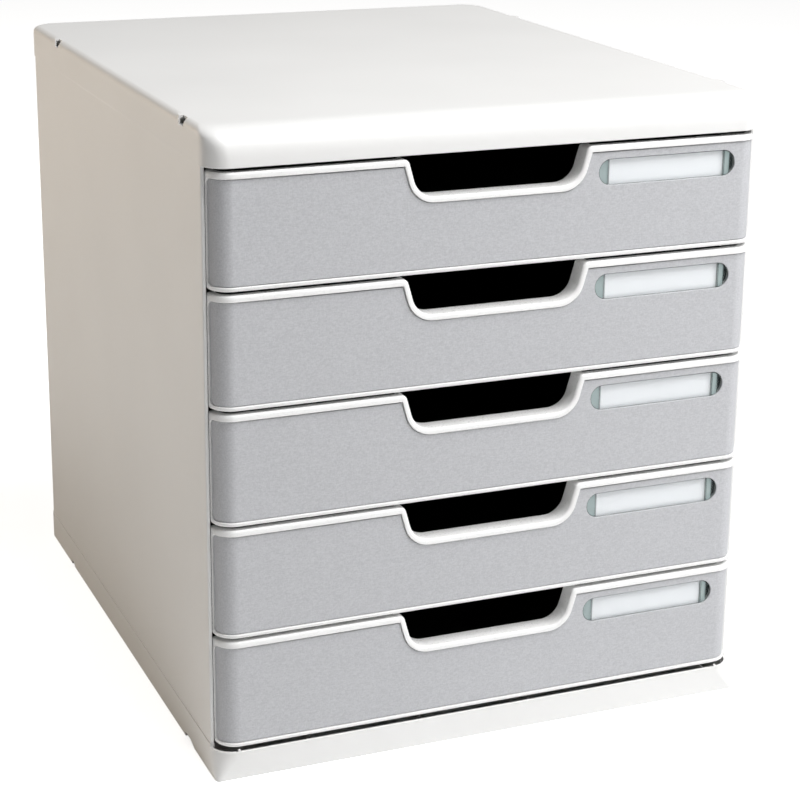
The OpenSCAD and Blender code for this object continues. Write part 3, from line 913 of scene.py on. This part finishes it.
# %% Wrap round the corners
def wrap_round_corners(bm, steps=14):
    """Cuts the strip across where it bends, then bends it round the two front corners."""
    for side in (-1, 1):
        for i in range(steps + 1):
            at = side * (FLAT_HALF + ARC_LENGTH * i / steps)
            bmesh.ops.bisect_plane(bm, geom=bm.verts[:] + bm.edges[:] + bm.faces[:], dist=1e-7,
                                   plane_co=(at, 0, 0), plane_no=(1, 0, 0))
    for vert in bm.verts:
        along, depth = abs(vert.co.x), vert.co.y
        side = math.copysign(1, vert.co.x)
        angle = min(max((along - FLAT_HALF) / CORNER_R, 0), math.pi / 2)
        tail = max(along - FLAT_HALF - ARC_LENGTH, 0)
        x = min(along, FLAT_HALF) + (CORNER_R - depth) * math.sin(angle)
        y = CORNER_R - (CORNER_R - depth) * math.cos(angle) + tail
        vert.co = Vector((side * x, FACE_Y + y, vert.co.z))


# %% [markdown]
# The rim is the part that catches the light: it stands a little proud of the panel, with a
# radius outside, a slight crown and a smaller radius where it drops to the panel. Behind it
# lies the floor of the recess, with a pocket for the window and its card. The pocket is open
# to the back at its right end, where a card goes in.

# %% Sections of the rim
OUTER_R = 1.2 * MM
INNER_R = 0.35 * MM
CROWN = 0.12 * MM
CROWN_INSET = 1.5 * MM
CROWN_TOP = CROWN * 0.3


def rim_sections():
    """Loops of the rim from the frame's back, over the crown, to the recess floor."""
    outer = [upright(evenly_drawn(0), WEB_BACK)]
    outer += [upright(evenly_drawn(inset), depth + CROWN) for inset, depth in quarter_turn(OUTER_R)]
    crown = [upright(evenly_drawn(CROWN_INSET), CROWN_TOP)]
    inner = [upright(recess_outline(grow), depth + CROWN_TOP)
             for grow, depth in reversed(quarter_turn(INNER_R))]
    return outer + crown + inner + [upright(recess_outline(0), RECESS_DEPTH)]


# %% Outlines of the label
LABEL_X = (panel_low.x + panel_high.x) / 2 + 90 * MM
LABEL_DROP = 13.5 * MM
LABEL_LENGTH = 75 * MM
LABEL_HEIGHT = 13 * MM


def label_outline(grow):
    """The label's outline, made larger all round by grow."""
    return stadium(LABEL_X, -LABEL_DROP, LABEL_LENGTH + 2 * grow, LABEL_HEIGHT + 2 * grow)


def card_opening():
    """The opening behind the window's right end: the end of a stadium, cut off straight."""
    radius = LABEL_HEIGHT / 2 + 1 * MM
    centre = LABEL_X + (LABEL_LENGTH - LABEL_HEIGHT) / 2
    straight = LABEL_X + LABEL_LENGTH / 2 - CARD_SLOT - centre
    half_turn = math.degrees(math.acos(straight / radius))
    return arc_points(centre, -LABEL_DROP, radius, -half_turn, half_turn, 12)


# %% [markdown]
# Behind the rim a flange runs along the lower edge, a wall lines the finger cut-out, and
# four hooks hold the frame on the tray. Their shapes are simple, so each is one extruded face
# or a few rounded blocks.

# %% Flanges and cut-out wall
FLANGE_T = 1.9 * MM
GRIP_WALL_T = 2.6 * MM
GRIP_WALL_LEAD_R = 0.2 * MM
GRIP_DEPTH = 10 * MM


def add_flange(bm, side):
    """A plate behind the rim's lower edge, from the middle to one side's end."""
    inner_r = CORNER_R - WEB_BACK
    arc = arc_points(FLAT_HALF, FACE_Y + CORNER_R, inner_r, -90, 0, 14)
    back = FACE_Y + FRAME_DEPTH
    outline = [(0, FACE_Y + WEB_BACK)] + arc + [(FLAT_HALF + inner_r, back), (0, back)]
    extrude_face(bm, [(side * x, y, -FRONT_HEIGHT) for x, y in outline], (0, 0, FLANGE_T))


def add_grip_wall(bm):
    """The wall that lines the finger cut-out, from the rim back to the tray."""
    inner = evenly_drawn(0)
    outer = front_outline(0, 0, 0, GRIP_WALL_T, GRIP_WALL_LEAD_R, FRAME_END_R)
    corners = 2 * (CORNER_STEPS + 1)
    path = inner[corners:-corners] + outer[corners:-corners][::-1]
    extrude_face(bm, [(x, FACE_Y + WEB_BACK, z) for x, z in path], (0, GRIP_DEPTH - WEB_BACK, 0))


# %% Hooks
HOOK_X = 112 * MM
HOOK_DROPS = (14 * MM, 45 * MM)
PAD_X, PAD_Z = 6 * MM, 3 * MM
PEG_X, PEG_Z = 3 * MM, 1.5 * MM
BARB_LOW, BARB_HIGH = 2.5 * MM, 1.2 * MM
HOOK_R = 0.2 * MM


def add_hooks(bm):
    """Pads behind the web and the barbed pegs on them that go through the tray's front."""
    pad_front, pad_back, tip = FACE_Y + WEB_BACK - 0.5 * MM, FACE_Y + FRAME_DEPTH, front_high.y
    for side in (-1, 1):
        for drop in HOOK_DROPS:
            at = Vector((side * HOOK_X, 0, -drop))
            pad = (Vector((-PAD_X, pad_front, -PAD_Z)), Vector((PAD_X, pad_back, PAD_Z)))
            peg = (Vector((-PEG_X, pad_back - 1 * MM, -PEG_Z)), Vector((PEG_X, tip, PEG_Z)))
            barb = (Vector((-PEG_X, pad_back + 2 * MM, -BARB_LOW)), Vector((PEG_X, tip, -BARB_HIGH)))
            for low, high in (pad, peg, barb):
                add_block(bm, at + low, at + high, HOOK_R)


# %% [markdown]
# The frame itself is one loft over the rim, closed by three filled areas: the floor of the
# recess round the pocket, the floor of the pocket round the card's opening, and the back.
# Only this part is bent, because the pieces behind it are built in their final place.

# %% Front frame
POCKET_BACK = 3.15 * MM
POCKET_MARGIN = 1.6 * MM


def front_frame():
    """The white frame of one drawer, with z = 0 at its upper edge."""
    bm = bmesh.new()
    back, floor = loft(bm, rim_sections())
    pocket_front, pocket_back = loft(bm, [upright(label_outline(POCKET_MARGIN), depth)
                                          for depth in (RECESS_DEPTH, POCKET_BACK)])
    slot_front, slot_back = loft(bm, [upright(card_opening(), depth) for depth in (POCKET_BACK, WEB_BACK)])
    fill(bm, floor, pocket_front)
    fill(bm, pocket_back, slot_front)
    fill(bm, back, slot_back)
    wrap_round_corners(bm)
    for side in (-1, 1):
        add_flange(bm, side)
    add_grip_wall(bm)
    add_hooks(bm)
    return bm


# %% [markdown]
# The grey panel is a thin sheet that follows the recess with a hair of clearance, which
# reads as a fine dark line. Its edges and the edge of its label hole are slightly rounded.

# %% Grey panel
PANEL_GAP = 0.3 * MM
PANEL_EDGE = 0.25 * MM


def grey_panel():
    """The grey panel of one drawer, with z = 0 at the front's upper edge."""
    bm = bmesh.new()
    steps = quarter_turn(PANEL_EDGE)
    outside = [upright(recess_outline(-PANEL_GAP), PANEL_INSET + PANEL_T)]
    outside += [upright(recess_outline(-PANEL_GAP - inset), PANEL_INSET + depth) for inset, depth in steps]
    hole = [upright(label_outline(0), PANEL_INSET + PANEL_T)]
    hole += [upright(label_outline(inset), PANEL_INSET + depth) for inset, depth in steps]
    back, face = loft(bm, outside)
    hole_back, hole_face = loft(bm, hole)
    fill(bm, face, hole_face)
    fill(bm, back, hole_back)
    wrap_round_corners(bm)
    return bm


# %% [markdown]
# The window is a clear plate with a step round it that sits behind the panel. The opening
# behind its right end shows through it as a dark crescent. The card is a thin block, let in
# behind the plate, and it stays blank.

# %% Label window and card
WINDOW_FACE = 1.3 * MM
WINDOW_BACK = 2.6 * MM
WINDOW_GAP = 0.15 * MM
WINDOW_EDGE = 0.3 * MM
CARD_EDGE = 0.08 * MM


def label_window():
    """The clear window of one drawer, with z = 0 at the front's upper edge."""
    bm = bmesh.new()
    wide, plate = label_outline(WINDOW_STEP), label_outline(-WINDOW_GAP)
    sections = [upright(wide, WINDOW_BACK), upright(wide, RECESS_DEPTH), upright(plate, RECESS_DEPTH)]
    sections += [upright(label_outline(-WINDOW_GAP - inset), WINDOW_FACE + depth)
                 for inset, depth in quarter_turn(WINDOW_EDGE)]
    for end in loft(bm, sections):
        fill(bm, end)
    # The plate's side walls are marked "edge", and the material paints shade on them.
    edge = bm.verts.layers.float.new("edge")
    for vert in bm.verts:
        vert[edge] = WINDOW_FACE + 0.01 * MM < vert.co.y < RECESS_DEPTH - 0.01 * MM
    bmesh.ops.translate(bm, vec=(0, FACE_Y, 0), verts=bm.verts)
    return bm


def label_card():
    """The blank paper card of one drawer, with z = 0 at the front's upper edge."""
    bm = bmesh.new()
    upper_edge = Vector((0, 0, front_high.z))
    add_block(bm, card_low - upper_edge, card_high - upper_edge, CARD_EDGE)
    return bm


# %% [markdown]
# ## All five drawers
#
# The drawers are alike, so one loop makes them. Each front piece is built at the height zero
# and moved up to its drawer's place in the mesh, because the finished objects all sit at the
# origin. The tray is a bevelled copy, like the walls.

# %% All five drawers
DRAWER_COUNT = 5
TRAY_EDGE_R = 0.35 * MM
FRONT_PIECES = (
    ("front", front_frame, rim_white, "case_plastic"),
    ("panel", grey_panel, panel_grey, "panel_plastic"),
    ("window", label_window, window_clear_and_shade, "window_plastic"),
    ("label", label_card, card_white, "label_card"),
)
for number in range(1, DRAWER_COUNT + 1):
    body = f"drawer_{number}"
    top_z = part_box(body + "_front")[1].z
    for part, build, material, slot in FRONT_PIECES:
        bm = build()
        bmesh.ops.translate(bm, vec=(0, 0, top_z), verts=bm.verts)
        make_piece(f"{body}_{part}_made", bm, body, f"{body}_{part}", material)
    bm = bevelled_copy(f"{body}_tray", TRAY_EDGE_R)
    make_piece(f"{body}_tray_made", bm, body, f"{body}_tray", tray_charcoal)

# %% [markdown]
# ## Stage and light
#
# The object stands on a plain pale floor that keeps its soft shadow. The camera sees the
# floor brighter than it is, so that it runs into the white behind it. A floor that is really
# that bright would light the case from below. Under the case the camera sees it as it is, so
# that the inside of the base stays dark.

# %% Floor
FLOOR_LIFT = 0.75
LIFT_FROM, LIFT_TO = 3 * MM, 2 * MM


def add_floor():
    """A plain pale floor, which the camera sees brighter than it is round the case."""
    bm = bmesh.new()
    bmesh.ops.create_grid(bm, x_segments=1, y_segments=1, size=6)
    mesh = bpy.data.meshes.new("floor")
    bm.to_mesh(mesh)
    bm.free()
    material, tree, shader = new_material("floor_white", (0.9, 0.9, 0.9), 0.9, Emission_Color=(1, 1, 1, 1))
    place = add_node(tree, "ShaderNodeSeparateXYZ")
    tree.links.new(object_coordinates(tree), place.inputs["Vector"])
    beside = []
    for axis, half in (("X", CASE_X), ("Y", CASE_BACK)):
        distance = worked_out(tree, "ABSOLUTE", place.outputs[axis])
        beside.append(spread(tree, distance, half - LIFT_FROM, half - LIFT_TO, 0, 1))
    camera_ray = add_node(tree, "ShaderNodeLightPath").outputs["Is Camera Ray"]
    seen = worked_out(tree, "MULTIPLY", camera_ray, larger(tree, *beside))
    tree.links.new(spread(tree, seen, 0, 1, 0, FLOOR_LIFT), shader.inputs["Emission Strength"])
    mesh.materials.append(material)
    floor = bpy.data.objects.new("floor", mesh)
    bpy.context.scene.collection.objects.link(floor)
    print("made the floor")


add_floor()

# %% [markdown]
# The room gives a faint light from all round, and the camera sees it as plain white. Three
# square lamps do the rest, because an area leaves softer shadows than a point. A low one in
# front on the right makes the fronts brighter towards that side. A larger one, high in front,
# lights the top and the floors of the cut-outs. A warm one behind on the left keeps the
# shaded wall from looking cold.


# %% Room and lamps
def add_room(light, tint):
    """Even light from all round, which the camera sees as white."""
    world = bpy.data.worlds.new("studio")
    bpy.context.scene.world = world
    world.use_nodes = True
    tree = world.node_tree
    background = tree.nodes["Background"]
    seen = add_node(tree, "ShaderNodeLightPath").outputs["Is Camera Ray"]
    tree.links.new(colour_between(tree, seen, tint, (1, 1, 1)), background.inputs["Color"])
    tree.links.new(spread(tree, seen, 0, 1, light, 1), background.inputs["Strength"])


def add_lamp(name, at, aim, size, power, colour=(1, 1, 1)):
    """A square lamp at a point, turned to aim at another."""
    data = bpy.data.lights.new(name, "AREA")
    data.shape = "SQUARE"
    data.size = size
    data.energy = power
    data.color = colour
    lamp = bpy.data.objects.new(name, data)
    bpy.context.scene.collection.objects.link(lamp)
    lamp.location = at
    lamp.rotation_euler = (Vector(aim) - Vector(at)).to_track_quat("-Z", "Y").to_euler()
    print("made", name, "of", power, "W")


add_room(0.15, (1, 0.99, 0.97))
add_lamp("key_lamp", at=(0.75, -0.65, 0.38), aim=(0, -0.1, 0.15), size=0.5, power=2.3)
add_lamp("top_lamp", at=(0.5, -0.7, 1.65), aim=(0, 0, 0.25), size=1.0, power=35)
add_lamp("side_lamp", at=(-1.4, 1.6, 0.4), aim=(0, 0, 0.15), size=1.0, power=16, colour=(1, 0.84, 0.66))
bpy.context.scene.view_settings.view_transform = "Standard"
